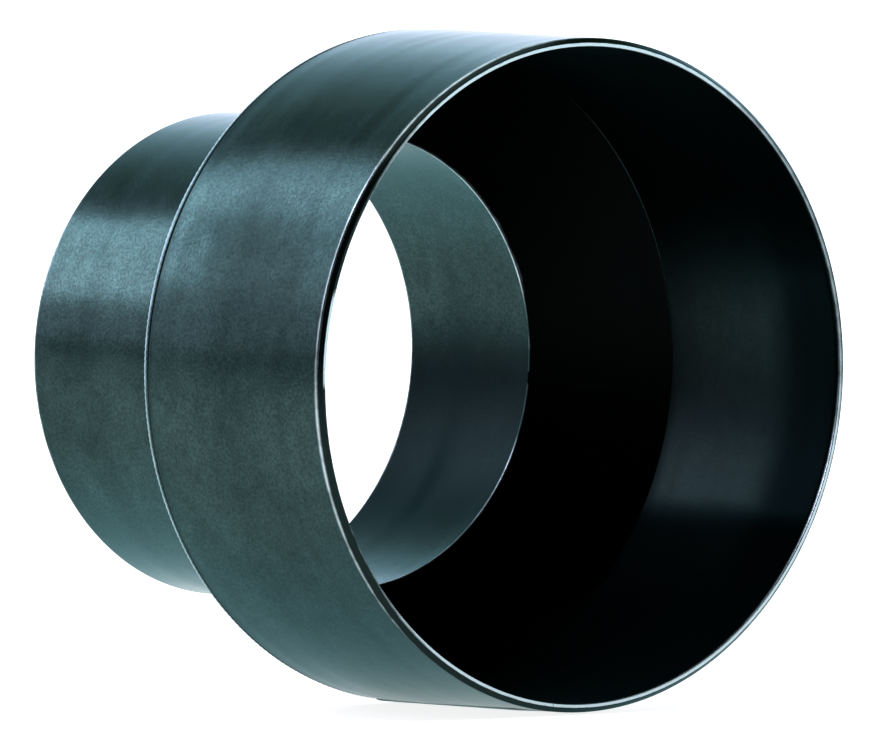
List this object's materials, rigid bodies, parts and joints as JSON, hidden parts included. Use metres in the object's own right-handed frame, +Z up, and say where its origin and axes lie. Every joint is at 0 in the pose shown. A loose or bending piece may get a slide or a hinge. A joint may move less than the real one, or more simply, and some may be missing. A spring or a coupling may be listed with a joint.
{
  "type": "concentric pipe reducer",
  "caption": "Concentric reducer in painted sheet steel: a wide collar and a narrow collar joined by a short cone, for round flue or duct pipe.",
  "frame": {"origin": "under the middle of the length, on the surface that the part lies on", "axes": "+X along the pipe axis, out of the large mouth; -X out of the small mouth; +Z up, with the pipe axis 80 mm above the origin"},
  "size_m": [0.1388, 0.16, 0.16],
  "materials": {
    "shell_paint": "satin blue-grey heat-resistant paint with a fine grain over rolled 2 mm steel sheet",
    "weld_paint": "the same paint over dressed weld beads, slightly rougher"
  },
  "bodies": {
    "root": {"large_collar": "shell_paint", "reducing_cone": "shell_paint", "small_collar": "shell_paint", "large_girth_weld": "weld_paint", "small_girth_weld": "weld_paint", "large_collar_seam_weld": "weld_paint", "cone_seam_weld": "weld_paint", "small_collar_seam_weld": "weld_paint"}
  },
  "joints": []
}
